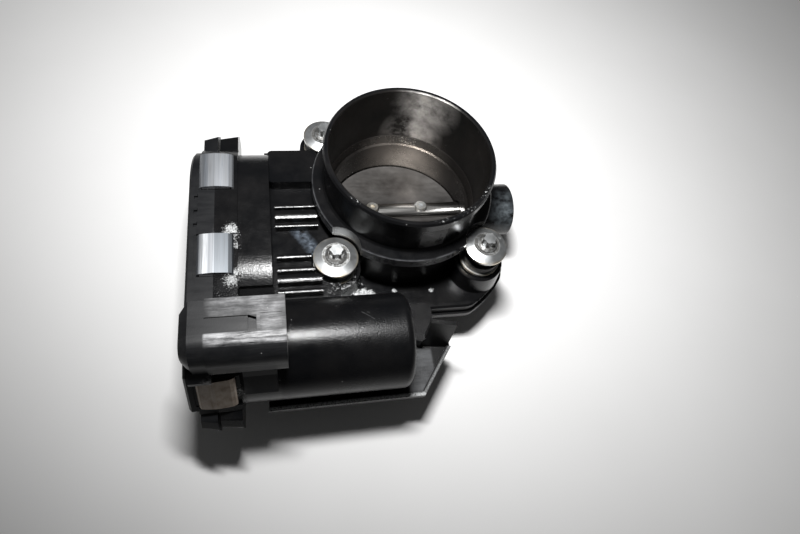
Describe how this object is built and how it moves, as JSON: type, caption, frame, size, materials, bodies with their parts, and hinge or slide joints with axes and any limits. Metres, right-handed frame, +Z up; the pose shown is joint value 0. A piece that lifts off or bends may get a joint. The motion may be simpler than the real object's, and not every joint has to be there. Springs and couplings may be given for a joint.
{
  "type": "throttle body",
  "caption": "Electronic throttle body: round inlet neck over a butterfly plate, square flange with captive screws, side gear case with clipped cover and plug, motor tube.",
  "frame": {"origin": "on the throttle bore's axis, in the flange's mounting face", "axes": "+Z up the bore's axis towards the inlet, +X along the throttle shaft away from the gear cover, -Y towards the motor"},
  "size_m": [0.14, 0.1419, 0.0754],
  "materials": {
    "black_casting": "gloss",
    "black_plastic": "matt",
    "seal_rubber": "matt",
    "spring_steel": "satin",
    "zinc_steel": "satin",
    "polished_steel": "polished",
    "plate_alloy": "satin",
    "bearing_bronze": "satin",
    "bright_alloy": "satin",
    "gear_nylon": "matt",
    "dark_nylon": "matt",
    "magnet": "matt",
    "laminations": "satin",
    "copper": "satin",
    "carbon": "matt",
    "board": "gloss",
    "tin": "satin"
  },
  "bodies": {
    "body": {"housing": "black_casting", "gear_cover": "black_plastic", "cover_seal": "seal_rubber", "cover_clips": "spring_steel", "shaft_bearings": "bearing_bronze", "shaft_seals": "seal_rubber", "shaft_end_plug": "bright_alloy", "return_spring": "spring_steel", "idler_pin": "polished_steel", "motor_can": "tin", "motor_magnets": "magnet", "motor_front_plate": "bright_alloy", "motor_bearings": "bearing_bronze", "motor_brushes": "carbon", "brush_holder": "dark_nylon", "motor_screws": "zinc_steel", "sensor_board": "board", "connector_pins": "tin", "rubber_grommets": "seal_rubber", "isolator_rings": "zinc_steel", "limiter_sleeves": "zinc_steel", "conical_washers": "zinc_steel", "mounting_screws": "zinc_steel", "flange_seal": "seal_rubber"},
    "throttle": {"throttle_shaft": "polished_steel", "throttle_plate": "plate_alloy", "plate_screws": "zinc_steel", "sector_gear": "gear_nylon", "sensor_magnet": "magnet"},
    "idler": {"idler_gear": "gear_nylon"},
    "rotor": {"motor_shaft": "polished_steel", "motor_armature": "laminations", "motor_commutator": "copper", "motor_pinion": "bearing_bronze"}
  },
  "joints": [
    {"name": "throttle_turn", "type": "hinge", "parent": "body", "child": "throttle", "pos_m": [0, 0, 0.009], "axis": [-1, 0, 0], "range_deg": [-7.5, 74.5], "stiffness_Nm_per_rad": 0.05},
    {"name": "idler_turn", "type": "hinge", "parent": "body", "child": "idler", "pos_m": [0, -0.034, 0.00867], "axis": [-1, 0, 0], "range_deg": [-240, 40]},
    {"name": "rotor_turn", "type": "hinge", "parent": "body", "child": "rotor", "pos_m": [0, -0.0655, 0.0185], "axis": [-1, 0, 0], "range_deg": [-100, 720]}
  ],
  "couplings": [
    {"joint": "idler_turn", "follows": "throttle_turn", "ratio": -3},
    {"joint": "rotor_turn", "follows": "throttle_turn", "ratio": 9.375}
  ]
}
